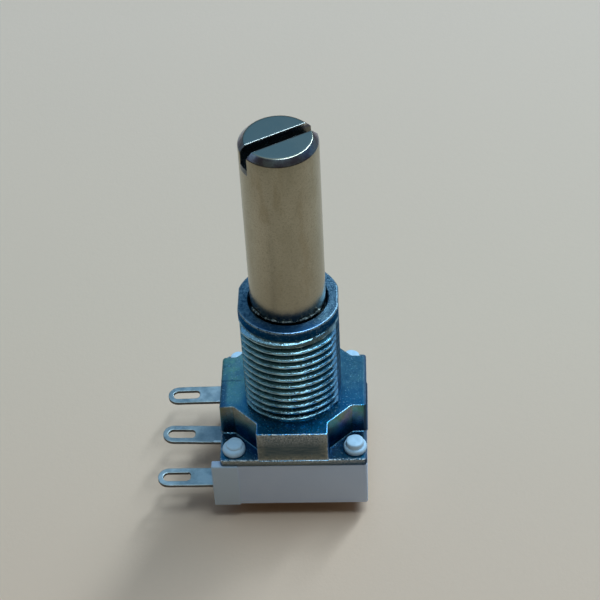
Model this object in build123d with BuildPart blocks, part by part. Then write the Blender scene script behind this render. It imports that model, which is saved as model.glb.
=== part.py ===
from build123d import *
import os
from math import cos, radians, sin

# Panel-mount rotary potentiometer, 12.7 mm square, with three side solder lugs.
# Frame: origin on the shaft axis at the underside of the base, +Z up the shaft,
# lugs towards -X, millimetres.

# ---- driving dimensions --------------------------------------------------
body_side = 12.7
half_body = body_side / 2

# heights above the underside of the base
base_height = 5.05
flange_top = 5.75
plateau_top = 9.0
bushing_top = 19.1
shaft_top = 36.1

# bushing: 3/8-32 thread on the front and back only, plain at the sides
thread_pitch = 0.79375
thread_major_r = 4.73
band_r = 4.75
thread_root_r = 4.24
thread_half_width = 3.97
ridge_foot = 0.37
ridge_crest = 0.09
thread_top = 18.12
lead_in_bottom = 17.72
collar_r = 4.38
side_flat = 4.19
bore_r = 3.21
mouth_r = 3.32
mouth_depth = 0.5

# plan of the casting: a cross whose corner pockets leave room for the posts
boss_half_width = 3.07
pocket_diagonal_y = 5.03
pocket_diagonal_x = 5.1
pocket_edge_y = 3.03
flange_corner_r = 0.3
plateau_corner_r = 0.45
seat_relief_r = 4.85
seat_relief_depth = 0.05
chamber_r = 4.9
chamber_top = 7.9

# moulded base
base_floor = 1.2
cavity_r = 5.5
cavity_half_width = 4.0
cheek_reach = 0.8
cheek_thickness = 0.75
cheek_overlap = 1.55
cheek_proud = 0.12
post_x = 5.2
post_y = 5.1
post_r = 0.76
post_hole_r = 0.82
head_r = 0.99
head_top = 6.35
stub_r = 0.78
stub_top = 6.78
pivot_boss_r = 1.2
pivot_boss_top = 2.35

# solder lugs
lug_pitch = 5.0
lug_width = 1.97
lug_thickness = 0.3
lug_underside = 1.9
lug_tip_x = -12.0
lug_slot_length = 2.45
lug_slot_width = 0.96
lug_slot_margin = 0.45
tab_end_x = -5.6
foot_back_x = -6.0
foot_edge_x = -4.3
foot_inner_y = 2.75
foot_outer_y = 5.5

# resistance element
substrate_bottom = 1.2
track_bottom = 1.85
track_top = 1.9
substrate_gap = 0.1
substrate_hole_r = 1.3
track_inner_r = 3.6
track_outer_r = 4.8
track_end_angle = 150.0
collector_inner_r = 1.7
collector_outer_r = 2.95
collector_tail_width = 1.3
rivet_r = 0.35
rivet_head_r = 0.62
rivet_head_height = 0.25
outer_rivet_x = -4.85
outer_rivet_y = 3.35

# shaft
shaft_r = 3.175
shaft_chamfer = 0.5
screwdriver_slot_width = 1.04
screwdriver_slot_depth = 1.6
slot_angle = 29.4
groove_r = 2.6
groove_bottom = 6.85
groove_top = 7.4
grease_groove_r = 2.95
grease_groove_bottom = 18.2
grease_groove_top = 18.93
tenon_r = 2.4
tenon_half_flat = 1.8
shoulder_z = 6.2
pivot_r = 1.0
pivot_bottom = 2.4

# shaft retention
ring_outer_r = 4.05
ring_half_angle = 145.0
washer_outer_r = 4.5
washer_thickness = 0.16
spring_half = 4.4
spring_sag = 0.2
spring_sheet = 0.08

# rotor and its wiper
rotor_bottom = 3.3
rotor_disc_top = 4.6
rotor_disc_r = 4.8
rotor_hub_r = 3.6
rotor_hub_top = 6.15
stop_half_angle = 16.0
stop_clearance = 0.15
stop_inner_r = 3.0
stop_outer_r = 4.7
sheet_thickness = 0.14
stake_r = 0.3
stake_head_r = 0.5
stake_head_height = 0.12
finger_width = 0.28
finger_root_y = -1.7
finger_rise = 0.35
wiper_tip_gap = 0.02
fit_gap = 0.02

# angle of the wiper about the axis, and of the housing's stop
wiper_angle = slot_angle
stop_angle = 180.0

os.makedirs("parts", exist_ok=True)
corners = [(x, y) for x in (-post_x, post_x) for y in (-post_y, post_y)]


def save(piece, name):
    """Label a finished piece and write it as its own STEP file."""
    piece.part.label = name
    export_step(piece.part, f"parts/{name}.step")


def polar(radius, angle):
    """Point at a radius and an angle in degrees about the axis."""
    return (radius * cos(radians(angle)), radius * sin(radians(angle)))


def ring_sector(inner, outer, middle, half_angle):
    """Closed outline of a ring's sector, drawn in the current sketch."""
    start, end = middle - half_angle, middle + half_angle
    with BuildLine() as outline:
        CenterArc((0, 0), outer, start, 2 * half_angle)
        CenterArc((0, 0), inner, start, 2 * half_angle)
        Line(polar(inner, start), polar(outer, start))
        Line(polar(inner, end), polar(outer, end))
    make_face(outline.edges())


# ---- terminals: three flat solder lugs with riveted inner feet ------------
def lug_shape(row):
    """Outline of one lug in the current sketch; row is -1, 0 or 1 along Y."""
    y_line = row * lug_pitch
    inner_end_x = foot_edge_x if row == 0 else tab_end_x
    round_x = lug_tip_x + lug_width / 2
    with Locations(((round_x + inner_end_x) / 2, y_line)):
        Rectangle(inner_end_x - round_x, lug_width)
    with Locations((round_x, y_line)):
        Circle(lug_width / 2)
    if row != 0:
        foot_mid_y = (foot_outer_y + foot_inner_y) / 2
        with Locations(((foot_back_x + foot_edge_x) / 2, row * foot_mid_y)):
            Rectangle(foot_edge_x - foot_back_x, foot_outer_y - foot_inner_y)
    with Locations((lug_tip_x + lug_slot_margin + lug_slot_length / 2, y_line)):
        SlotOverall(lug_slot_length, lug_slot_width, mode=Mode.SUBTRACT)


def rivet_point(row):
    """Centre of one terminal's rivet."""
    return (outer_rivet_x, row * outer_rivet_y)


lugs = {}
for lug_name, lug_row in (("terminal_lug_1", -1), ("terminal_lug_2", 0), ("terminal_lug_3", 1)):
    with BuildPart() as lug:
        with BuildSketch(Plane.XY.offset(lug_underside)):
            lug_shape(lug_row)
            with Locations(rivet_point(lug_row)):
                Circle(rivet_r + fit_gap, mode=Mode.SUBTRACT)
        extrude(amount=lug_thickness)
    save(lug, lug_name)
    lugs[lug_name] = lug.part

rivet_points = [rivet_point(row) for row in (-1, 0, 1)]
with BuildPart() as terminal_rivets:
    with BuildSketch(Plane.XY.offset(substrate_bottom)):
        with Locations(rivet_points):
            Circle(rivet_r)
    extrude(amount=lug_underside + lug_thickness - substrate_bottom)
    for rivet_head_z in (substrate_bottom - rivet_head_height, lug_underside + lug_thickness):
        with BuildSketch(Plane.XY.offset(rivet_head_z)):
            with Locations(rivet_points):
                Circle(rivet_head_r)
        extrude(amount=rivet_head_height)
save(terminal_rivets, "terminal_rivets")

# ---- resistance element on its board ---------------------------------------
with BuildPart() as element_board:
    with BuildSketch(Plane.XY.offset(substrate_bottom)):
        board_r = cavity_r - substrate_gap
        Circle(board_r)
        with Locations((-board_r / 2, 0)):
            Rectangle(board_r, 2 * (cavity_half_width - substrate_gap))
        Circle(substrate_hole_r, mode=Mode.SUBTRACT)
        with Locations(rivet_points):
            Circle(rivet_r + fit_gap, mode=Mode.SUBTRACT)
    extrude(amount=track_bottom - substrate_bottom)
save(element_board, "element_board")

with BuildPart() as resistive_track:
    with BuildSketch(Plane.XY.offset(track_bottom)):
        ring_sector(track_inner_r, track_outer_r, 0, track_end_angle)
    extrude(amount=track_top - track_bottom)
save(resistive_track, "resistive_track")

pad_inset = 0.05
pad_edge_x = -(cavity_r - substrate_gap) + pad_inset
pad_edge_y = cavity_half_width - substrate_gap - pad_inset
with BuildPart() as end_pads:
    with BuildSketch(Plane.XY.offset(track_bottom)):
        with BuildLine():
            Polyline(
                polar(track_inner_r, track_end_angle),
                polar(track_outer_r, track_end_angle),
                (foot_edge_x, pad_edge_y),
                (pad_edge_x, pad_edge_y),
                (pad_edge_x, foot_inner_y),
                polar(track_outer_r, track_end_angle + 6),
                polar(track_inner_r, track_end_angle + 6),
                close=True,
            )
        make_face()
        mirror(about=Plane.XZ)
        with Locations(rivet_points):
            Circle(rivet_r + fit_gap, mode=Mode.SUBTRACT)
    extrude(amount=track_top - track_bottom)
save(end_pads, "end_pads")

with BuildPart() as collector_track:
    with BuildSketch(Plane.XY.offset(track_bottom)):
        Circle(collector_outer_r)
        with Locations((pad_edge_x / 2, 0)):
            Rectangle(-pad_edge_x, collector_tail_width)
        Circle(collector_inner_r, mode=Mode.SUBTRACT)
        with Locations(rivet_points):
            Circle(rivet_r + fit_gap, mode=Mode.SUBTRACT)
    extrude(amount=track_top - track_bottom)
save(collector_track, "collector_track")

# ---- moulded base with four heat-staked posts ------------------------------
with BuildPart() as base:
    with BuildSketch():
        RectangleRounded(body_side, body_side, 0.2)
        cheek_depth = cheek_thickness + cheek_proud
        cheek_x = -half_body + (cheek_overlap - cheek_reach) / 2
        with Locations((cheek_x, -half_body - cheek_proud + cheek_depth / 2)):
            Rectangle(cheek_reach + cheek_overlap, cheek_depth)
    extrude(amount=base_height)
    chamfer(base.faces().sort_by(Axis.Z)[0].edges(), 0.12)
    with BuildSketch(Plane.XY.offset(base_floor)):
        Circle(cavity_r)
        with Locations((-cavity_r / 2, 0)):
            Rectangle(cavity_r, 2 * cavity_half_width)
    extrude(amount=base_height - base_floor, mode=Mode.SUBTRACT)
    with BuildSketch(Plane.XY.offset(base_floor)):
        Circle(pivot_boss_r)
    extrude(amount=pivot_boss_top - base_floor)
    # recesses for the rivets' lower heads
    with BuildSketch(Plane.XY.offset(base_floor)):
        with Locations(rivet_points):
            Circle(rivet_head_r + 0.1)
    extrude(amount=-(rivet_head_height + 0.05), mode=Mode.SUBTRACT)
    for moulded_lug in lugs.values():
        add(moulded_lug, mode=Mode.SUBTRACT)
    # posts through the flange, mushroomed over it, with a raised stub on top
    with BuildSketch(Plane.XY.offset(base_height)):
        with Locations(corners):
            Circle(post_r)
    extrude(amount=flange_top - base_height)
    with BuildSketch(Plane.XY.offset(flange_top)):
        with Locations(corners):
            Circle(head_r)
    extrude(amount=head_top - flange_top)
    fillet(base.faces().filter_by(Plane.XY).filter_by_position(Axis.Z, head_top, head_top).edges(), 0.25)
    with BuildSketch(Plane.XY.offset(head_top)):
        with Locations(corners):
            Circle(stub_r)
    extrude(amount=stub_top - head_top)
    fillet(base.faces().sort_by(Axis.Z)[-4:].edges(), 0.08)
save(base, "base")

# ---- front housing: die-cast zinc, with the bushing in one piece ---------
pocket_outline = [
    (boss_half_width, -half_body - 1),
    (boss_half_width, -pocket_diagonal_y),
    (pocket_diagonal_x, -pocket_edge_y),
    (half_body + 1, -pocket_edge_y),
    (half_body + 1, -half_body - 1),
]
ridge_start_r = thread_root_r - 0.06
ridge_start_z = plateau_top - 0.545
band_bottom = lead_in_bottom - 0.17

with BuildPart() as thread_arcs:
    with BuildLine():
        Helix(
            pitch=thread_pitch,
            height=lead_in_bottom - ridge_start_z,
            radius=ridge_start_r,
            center=(0, 0, ridge_start_z),
        )
    with BuildSketch(Plane((ridge_start_r, 0, ridge_start_z), x_dir=(1, 0, 0), z_dir=(0, 1, 0))):
        with BuildLine():
            ridge_reach = thread_major_r - ridge_start_r
            Polyline(
                (0, -ridge_foot),
                (ridge_reach, -ridge_crest),
                (ridge_reach, ridge_crest),
                (0, ridge_foot),
                close=True,
            )
        make_face()
    sweep(is_frenet=True)
    with BuildSketch(Plane.XY.offset(plateau_top - 0.05)):
        Rectangle(2 * thread_half_width, 4 * thread_major_r)
    extrude(amount=band_bottom + 0.05 - plateau_top + 0.05, mode=Mode.INTERSECT)

with BuildPart() as thread_start:
    with BuildSketch(Plane.XZ):
        with BuildLine():
            Polyline(
                (0, band_bottom),
                (band_r, band_bottom),
                (band_r, lead_in_bottom),
                (collar_r - 0.01, thread_top),
                (0, thread_top),
                close=True,
            )
        make_face()
    revolve(axis=Axis.Z)
    with BuildSketch(Plane.XY.offset(band_bottom)):
        Rectangle(2 * thread_half_width, 4 * band_r)
    extrude(amount=thread_top - band_bottom, mode=Mode.INTERSECT)

with BuildPart() as front_housing:
    # flange and plateau
    with BuildSketch(Plane.XY.offset(base_height)):
        RectangleRounded(body_side, body_side, flange_corner_r)
    extrude(amount=flange_top - base_height)
    with BuildSketch(Plane.XY.offset(flange_top)) as plateau:
        Rectangle(body_side, body_side)
        for x_sign, y_sign in ((1, 1), (1, -1), (-1, 1), (-1, -1)):
            with BuildLine():
                Polyline([(x * x_sign, y * y_sign) for x, y in pocket_outline], close=True)
            make_face(mode=Mode.SUBTRACT)
        rear_corners = plateau.vertices().filter_by(lambda v: v.Y > 0 and abs(v.X) > half_body - 0.01)
        fillet(rear_corners, plateau_corner_r)
    extrude(amount=plateau_top - flange_top)
    # shallow relief round the bushing, so that a panel seats outside the thread
    with BuildSketch(Plane.XY.offset(plateau_top)):
        Circle(seat_relief_r)
    extrude(amount=-seat_relief_depth, mode=Mode.SUBTRACT)
    # bushing core with its two side flats
    with BuildSketch(Plane.XY.offset(plateau_top - seat_relief_depth)):
        Circle(thread_root_r)
        Rectangle(2 * side_flat, 4 * collar_r, mode=Mode.INTERSECT)
    extrude(amount=band_bottom - plateau_top + seat_relief_depth)
    # plain collar, over the chamfered band that starts the thread
    with BuildSketch(Plane.XY.offset(band_bottom)):
        Circle(collar_r)
        Rectangle(2 * side_flat, 4 * collar_r, mode=Mode.INTERSECT)
    extrude(amount=bushing_top - band_bottom)
    add(thread_start.part)
    add(thread_arcs.part)
    # rotor chamber, shaft bore and its eased mouth
    with BuildSketch(Plane.XY.offset(base_height)):
        Circle(chamber_r)
    extrude(amount=chamber_top - base_height, mode=Mode.SUBTRACT)
    with BuildSketch(Plane.XY.offset(chamber_top)):
        Circle(bore_r)
    extrude(amount=bushing_top - chamber_top, mode=Mode.SUBTRACT)
    with BuildSketch(Plane.XZ):
        with BuildLine():
            Polyline(
                (0, bushing_top - mouth_depth),
                (bore_r, bushing_top - mouth_depth),
                (mouth_r, bushing_top),
                (0, bushing_top),
                close=True,
            )
        make_face()
    revolve(axis=Axis.Z, mode=Mode.SUBTRACT)
    # rotation stop on the chamber wall
    with BuildSketch(Plane.XY.offset(base_height)):
        ring_sector(rotor_hub_r + stop_clearance, chamber_r + 0.1, stop_angle, stop_half_angle)
    extrude(amount=rotor_hub_top - base_height)
    # holes for the base's posts
    with BuildSketch(Plane.XY.offset(base_height)):
        with Locations(corners):
            Circle(post_hole_r)
    extrude(amount=flange_top - base_height, mode=Mode.SUBTRACT)
save(front_housing, "front_housing")

# ---- shaft --------------------------------------------------------------------
slot_plane = Plane((0, 0, shaft_top), x_dir=(*polar(1, slot_angle), 0), z_dir=(0, 0, 1))
tenon_plane = Plane((0, 0, rotor_bottom), x_dir=(*polar(1, slot_angle), 0), z_dir=(0, 0, 1))

with BuildPart() as shaft:
    with BuildSketch(Plane.XY.offset(pivot_bottom)):
        Circle(pivot_r)
    extrude(amount=rotor_bottom - pivot_bottom)
    with BuildSketch(tenon_plane):
        Circle(tenon_r)
        Rectangle(4 * tenon_r, 2 * tenon_half_flat, mode=Mode.INTERSECT)
    extrude(amount=shoulder_z - rotor_bottom)
    with BuildSketch(Plane.XY.offset(shoulder_z)):
        Circle(shaft_r)
    extrude(amount=shaft_top - shoulder_z)
    chamfer(shaft.faces().sort_by(Axis.Z)[-1].edges(), shaft_chamfer)
    # groove for the retaining ring, and one that keeps the grease inside the bushing
    for cut_r, cut_bottom, cut_top in (
        (groove_r, groove_bottom, groove_top),
        (grease_groove_r, grease_groove_bottom, grease_groove_top),
    ):
        with BuildSketch(Plane.XY.offset(cut_bottom)):
            Circle(shaft_r + 1)
            Circle(cut_r, mode=Mode.SUBTRACT)
        extrude(amount=cut_top - cut_bottom, mode=Mode.SUBTRACT)
    with BuildSketch(slot_plane):
        Rectangle(3 * shaft_r, screwdriver_slot_width)
    extrude(amount=-screwdriver_slot_depth, mode=Mode.SUBTRACT)
save(shaft, "shaft")

# ---- shaft retention ----------------------------------------------------------
with BuildPart() as retaining_ring:
    with BuildSketch(Plane.XY.offset(groove_bottom + fit_gap)):
        ring_sector(groove_r + fit_gap, ring_outer_r, slot_angle, ring_half_angle)
    extrude(amount=groove_top - groove_bottom - 2 * fit_gap)
save(retaining_ring, "retaining_ring")

washer_bottom = chamber_top - fit_gap - washer_thickness
with BuildPart() as thrust_washer:
    with BuildSketch(Plane.XY.offset(washer_bottom)):
        Circle(washer_outer_r)
        Circle(bore_r + 0.05, mode=Mode.SUBTRACT)
    extrude(amount=washer_thickness)
save(thrust_washer, "thrust_washer")

spring_top = washer_bottom - fit_gap
with BuildPart() as spring_washer:
    with BuildSketch(Plane.XZ.offset(-spring_half)):
        with BuildLine():
            for drop in (0, spring_sheet):
                ThreePointArc(
                    (-spring_half, spring_top - spring_sag - drop),
                    (0, spring_top - drop),
                    (spring_half, spring_top - spring_sag - drop),
                )
            for x_sign in (-1, 1):
                Line(
                    (x_sign * spring_half, spring_top - spring_sag),
                    (x_sign * spring_half, spring_top - spring_sag - spring_sheet),
                )
        make_face()
    extrude(amount=2 * spring_half)
    with BuildSketch(Plane.XY.offset(groove_bottom)):
        Circle(spring_half)
        Circle(bore_r + 0.08, mode=Mode.SUBTRACT)
    extrude(amount=spring_top, mode=Mode.INTERSECT)
save(spring_washer, "spring_washer")

# ---- rotor and its wiper, turned to the slot's angle ----------------------------
stake_points = [(-2.2, -2.1), (2.9, -2.1)]


def rotor_plane(height):
    """Plane across the axis, with X along the wiper's direction."""
    return Plane((0, 0, height), x_dir=(*polar(1, wiper_angle), 0), z_dir=(0, 0, 1))


with BuildPart() as rotor:
    with BuildSketch(rotor_plane(rotor_bottom)):
        Circle(rotor_disc_r)
    extrude(amount=rotor_disc_top - rotor_bottom)
    with BuildSketch(rotor_plane(rotor_disc_top)):
        Circle(rotor_hub_r)
        ring_sector(stop_inner_r, stop_outer_r, 0, stop_half_angle)
    extrude(amount=rotor_hub_top - rotor_disc_top)
    with BuildSketch(rotor_plane(rotor_bottom)):
        Circle(tenon_r + fit_gap)
        Rectangle(4 * tenon_r, 2 * (tenon_half_flat + fit_gap), mode=Mode.INTERSECT)
    extrude(amount=rotor_hub_top - rotor_bottom, mode=Mode.SUBTRACT)
    # heat-staked pegs that hold the wiper
    with BuildSketch(rotor_plane(rotor_bottom)):
        with Locations(stake_points):
            Circle(stake_r)
    extrude(amount=-sheet_thickness)
    with BuildSketch(rotor_plane(rotor_bottom - sheet_thickness)):
        with Locations(stake_points):
            Circle(stake_head_r)
    extrude(amount=-stake_head_height)
save(rotor, "rotor")

sheet_bottom = rotor_bottom - sheet_thickness
tip_z = track_top + wiper_tip_gap
with BuildPart() as wiper_contact:
    with BuildSketch(rotor_plane(sheet_bottom)):
        with Locations((0.75, -2.15)):
            Rectangle(7.7, 1.3)
        with Locations(stake_points):
            Circle(stake_r + fit_gap, mode=Mode.SUBTRACT)
    extrude(amount=sheet_thickness)
    # four spring fingers: two on the resistive track, two on the collector
    for finger_x in (2.15, 2.55, 4.05, 4.45):
        finger_plane = Plane(
            (*polar(finger_x - finger_width / 2, wiper_angle), 0),
            x_dir=(*polar(1, wiper_angle + 90), 0),
            z_dir=(*polar(1, wiper_angle), 0),
        )
        with BuildSketch(finger_plane):
            with BuildLine():
                Polyline(
                    (finger_root_y, sheet_bottom),
                    (-0.15, tip_z),
                    (0.05, tip_z),
                    (0.45, tip_z + finger_rise),
                    (0.45, tip_z + finger_rise + sheet_thickness),
                    (0.0, tip_z + sheet_thickness),
                    (-0.1, tip_z + sheet_thickness),
                    (finger_root_y, sheet_bottom + sheet_thickness),
                    close=True,
                )
            make_face()
        extrude(amount=finger_width)
save(wiper_contact, "wiper_contact")
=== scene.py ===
"""Rotary potentiometer: finer meshes, materials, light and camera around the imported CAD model."""
import math

import bmesh
import bpy
import numpy as np
from mathutils import Matrix, Vector, noise
from mathutils.geometry import delaunay_2d_cdt
from mathutils.kdtree import KDTree


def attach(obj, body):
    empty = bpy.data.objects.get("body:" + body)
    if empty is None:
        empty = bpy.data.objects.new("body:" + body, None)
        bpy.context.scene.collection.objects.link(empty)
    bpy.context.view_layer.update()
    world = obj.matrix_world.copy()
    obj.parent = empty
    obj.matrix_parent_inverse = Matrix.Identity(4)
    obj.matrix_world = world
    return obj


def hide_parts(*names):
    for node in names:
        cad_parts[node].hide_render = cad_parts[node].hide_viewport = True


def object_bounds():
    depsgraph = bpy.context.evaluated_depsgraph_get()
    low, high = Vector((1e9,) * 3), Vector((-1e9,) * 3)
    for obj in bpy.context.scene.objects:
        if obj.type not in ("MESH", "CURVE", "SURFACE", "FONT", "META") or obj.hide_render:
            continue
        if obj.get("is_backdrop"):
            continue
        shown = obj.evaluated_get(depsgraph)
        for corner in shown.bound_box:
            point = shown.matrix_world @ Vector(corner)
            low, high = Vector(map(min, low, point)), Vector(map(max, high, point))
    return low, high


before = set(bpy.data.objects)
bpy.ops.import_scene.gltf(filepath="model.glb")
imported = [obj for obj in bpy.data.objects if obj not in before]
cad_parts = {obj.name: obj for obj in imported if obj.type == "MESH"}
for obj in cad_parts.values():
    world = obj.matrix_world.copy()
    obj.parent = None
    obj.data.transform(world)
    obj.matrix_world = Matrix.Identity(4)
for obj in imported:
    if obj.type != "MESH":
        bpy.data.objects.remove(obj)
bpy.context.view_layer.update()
MM = 0.001

# ---- sizes in millimetres, the CAD model's own except for surface detail -----
HALF = 6.35
BASE_TOP = 5.05
FLANGE_TOP = 5.75
PLATEAU_TOP = 9.0
BUSHING_TOP = 19.1
SHAFT_TOP = 36.1
PITCH = 0.79375
CREST_R = 4.73
ROOT_R = 4.24
CUT_X = 3.97  # where the thread is cut away at the bushing's sides
FLAT_X = 4.19  # flats of the core and the collar
COLLAR_R = 4.38
THREAD_PHASE = 0.545  # a crest lies this far under the plateau's top at angle 0
CREST_SHARE, FLANK_SHARE = 0.13, 0.6  # of half a turn's height
THREAD_TOP = 17.66  # above it come a plain band, the lead-in, and then the collar
LEAD_R, LEAD_START, LEAD_SLOPE = 4.745, 17.7, 0.86
COLLAR_BOTTOM, COLLAR_ROUND_START, COLLAR_ROUND = 18.16, 18.94, 0.16
ARM_X, ARM_Y = 3.07, 3.03  # half widths of the plateau's arms
POCKET_X, POCKET_Y = 5.1, 5.03  # where the slanted walls of its pockets end
SHAFT_R = 3.175
SLOT_ANGLE = math.radians(29.4)
SLOT_LEFT, SLOT_RIGHT = 0.44, 0.6  # the slot's walls, from the shaft's axis
SLOT_BOTTOM = 34.5
TENON_R, TENON_HALF = 2.4, 1.8
POSTS = ((-5.2, -5.1), (5.2, -5.1), (-5.2, 5.1), (5.2, 5.1))
LUG_PITCH = 5.0
LUG_BOTTOM, LUG_TOP = 1.9, 2.2
LUG_HALF, LUG_SLOT_HALF = 0.985, 0.48
LUG_INNER = -4.3  # inner end of every lug, inside the casing
RIVET_R, RIVET_X, RIVET_PITCH = 0.35, -4.85, 3.35
BEND_START, BEND_LENGTH = -6.5, 5.5  # a lug bends from the casing's wall to its tip
CAVITY_R = 5.5
TABLE_DROP = 1.5


# ---- mesh tools: everything in millimetres until it becomes an object --------
def rounded(points, radii, step=9.0):
    """Dense counter-clockwise outline of a polygon with an arc at each corner."""
    out, n = [], len(points)
    for i in range(n):
        p = np.array(points[i], float)
        a = np.array(points[i - 1], float) - p
        b = np.array(points[(i + 1) % n], float) - p
        r = radii[i] if hasattr(radii, "__len__") else radii
        ua, ub = a / np.linalg.norm(a), b / np.linalg.norm(b)
        inner = math.acos(np.clip(ua @ ub, -1, 1))
        if r <= 0 or inner > math.pi - 0.02:
            out.append(p)
            continue
        reach = r / math.tan(inner / 2)
        centre = p + (ua + ub) / np.linalg.norm(ua + ub) * r / math.sin(inner / 2)
        start, end = p + ua * reach - centre, p + ub * reach - centre
        a0 = math.atan2(start[1], start[0])
        turn = math.atan2(end[1], end[0]) - a0
        turn = (turn + math.pi) % (2 * math.pi) - math.pi
        count = max(3, int(abs(math.degrees(turn)) / step) + 1)
        for t in np.linspace(0, 1, count):
            out.append(centre + r * np.array([math.cos(a0 + turn * t), math.sin(a0 + turn * t)]))
    return np.array(out)


def divided(outline, step):
    """The same outline with its long runs split into pieces of about step."""
    out = []
    for i, p in enumerate(outline):
        q = outline[(i + 1) % len(outline)]
        pieces = max(1, int(np.linalg.norm(q - p) / step))
        out += [p + (q - p) * k / pieces for k in range(pieces)]
    return np.array(out)


def circle(r, n=72, cx=0.0, cy=0.0):
    """Counter-clockwise ring of n points."""
    t = np.arange(n) * 2 * math.pi / n
    return np.c_[cx + r * np.cos(t), cy + r * np.sin(t)]


def grown(outline, amount):
    """Outline moved outwards by an amount, one new point for each old one."""
    before, after = np.roll(outline, 1, 0), np.roll(outline, -1, 0)
    e0, e1 = outline - before, after - outline
    n0 = np.c_[e0[:, 1], -e0[:, 0]] / np.linalg.norm(e0, axis=1)[:, None]
    n1 = np.c_[e1[:, 1], -e1[:, 0]] / np.linalg.norm(e1, axis=1)[:, None]
    mean = n0 + n1
    mean /= np.maximum((mean * n0).sum(1), 0.3)[:, None]
    return outline + mean * amount


def inside(points, outline):
    """Which points lie inside a closed outline."""
    x, y = points[:, 0][:, None], points[:, 1][:, None]
    x0, y0 = outline[:, 0], outline[:, 1]
    x1, y1 = np.roll(x0, -1), np.roll(y0, -1)
    crosses = ((y0 > y) != (y1 > y)) & (x < (x1 - x0) * (y - y0) / (y1 - y0 + 1e-12) + x0)
    return crosses.sum(1) % 2 == 1


def fill(loops, extra=()):
    """Triangles between an outer loop, the first, and its holes. Returns (all points, triangles)."""
    pts, edges = [], []
    for loop in loops:
        base = len(pts)
        pts += [tuple(p) for p in loop]
        edges += [(base + i, base + (i + 1) % len(loop)) for i in range(len(loop))]
    pts += [tuple(p) for p in extra]
    _, ends, faces, origin, sources, _ = delaunay_2d_cdt([Vector(p) for p in pts], edges, [], 0, 1e-7)
    wall = {frozenset(e) for e, s in zip(ends, sources) if s}
    beside = {}
    for k, f in enumerate(faces):
        for i in range(3):
            beside.setdefault(frozenset((f[i], f[(i + 1) % 3])), []).append(k)
    # crossing an outline turns outside into inside, and back again
    state = {fs[0]: e in wall for e, fs in beside.items() if len(fs) == 1}
    queue = list(state)
    while queue:
        k = queue.pop()
        f = faces[k]
        for i in range(3):
            e = frozenset((f[i], f[(i + 1) % 3]))
            for other in beside[e]:
                if other not in state:
                    state[other] = state[k] != (e in wall)
                    queue.append(other)
    tris = np.array([[origin[v][0] for v in faces[k]] for k in sorted(state) if state[k]], int)
    return np.array(pts), tris


def prism(outline, levels, holes=(), grid=None):
    """Closed solid: the outline, and any holes, carried through levels of (height, outward offset)."""
    verts, faces, ends = [], [], []
    loops = [(outline, 1)] + [(h, -1) for h in holes]
    starts = []
    for loop, side in loops:
        rings = [np.c_[grown(loop, side * o), np.full(len(loop), z)] for z, o in levels]
        base, n = sum(len(v) for v in verts), len(loop)
        starts.append(base)
        verts += rings
        for k in range(len(rings) - 1):
            for i in range(n):
                j = (i + 1) % n
                quad = (base + k * n + i, base + k * n + j, base + (k + 1) * n + j, base + (k + 1) * n + i)
                faces.append(quad if side > 0 else quad[::-1])
        ends.append((rings[0][:, :2], rings[-1][:, :2]))
    for end in (0, 1):
        flats = [e[end] for e in ends]
        extra = []
        if grid:
            lo, hi = flats[0].min(0), flats[0].max(0)
            gx, gy = np.meshgrid(np.arange(lo[0], hi[0], grid), np.arange(lo[1], hi[1], grid))
            cand = np.c_[gx.ravel(), gy.ravel()] + grid / 2
            ok = inside(cand, grown(flats[0], -grid * 0.35))
            for h in flats[1:]:
                ok &= ~inside(cand, grown(h, grid * 0.35))
            extra = cand[ok]
        flat, tris = fill(flats, extra)
        index = []
        for (loop, _), start in zip(loops, starts):
            first = start + (0 if end == 0 else (len(levels) - 1) * len(loop))
            index += list(range(first, first + len(loop)))
        if len(extra):
            base = sum(len(v) for v in verts)
            verts.append(np.c_[extra, np.full(len(extra), levels[0 if end == 0 else -1][0])])
            index += list(range(base, base + len(extra)))
        index = np.array(index)
        faces += [tuple(index[t][::-1]) if end == 0 else tuple(index[t]) for t in tris]
    return np.vstack(verts), faces


def loft(rings):
    """Closed solid through rings of equal count, counter-clockwise from above and listed upwards."""
    n, verts, faces = len(rings[0]), np.vstack(rings), []
    for k in range(len(rings) - 1):
        for i in range(n):
            j = (i + 1) % n
            faces.append((k * n + i, k * n + j, (k + 1) * n + j, (k + 1) * n + i))
    last = (len(rings) - 1) * n
    for end, ring in ((0, rings[0]), (1, rings[-1])):
        _, tris = fill([ring[:, :2]])
        faces += [tuple(last + t) if end else tuple(t[::-1]) for t in tris]
    return verts, faces


def lathe(profile, n=96, cx=0.0, cy=0.0):
    """Closed solid turned about a vertical axis from (radius, height) points listed upwards."""
    return loft([np.c_[circle(r, n, cx, cy), np.full(n, z)] for r, z in profile])


def edge_line(outline, z):
    """An outline at one height, closed on itself."""
    line = np.c_[outline, np.full(len(outline), z)]
    return np.vstack([line, line[:1]])


def make(name, solid, shift=None):
    """Blender object from a solid in millimetres."""
    verts, faces = solid
    verts = np.array(verts, float)
    if shift is not None:
        verts = shift(verts)
    mesh = bpy.data.meshes.new(name)
    mesh.from_pydata((verts * MM).tolist(), [], [tuple(int(i) for i in f) for f in faces])
    mesh.update()
    obj = bpy.data.objects.new(name, mesh)
    bpy.context.scene.collection.objects.link(obj)
    return obj


def joined(obj, others, operation):
    """Adds or cuts closed meshes, one boolean after another, and removes the tools."""
    for other in others:
        mod = obj.modifiers.new("bool", "BOOLEAN")
        mod.operation = operation
        mod.solver = "MANIFOLD"
        mod.object = other
        bpy.context.view_layer.update()
        evaluated = obj.evaluated_get(bpy.context.evaluated_depsgraph_get())
        mesh = bpy.data.meshes.new_from_object(evaluated)
        obj.modifiers.clear()
        old = obj.data
        obj.data = mesh
        bpy.data.meshes.remove(old)
        bpy.data.objects.remove(other)


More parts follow.
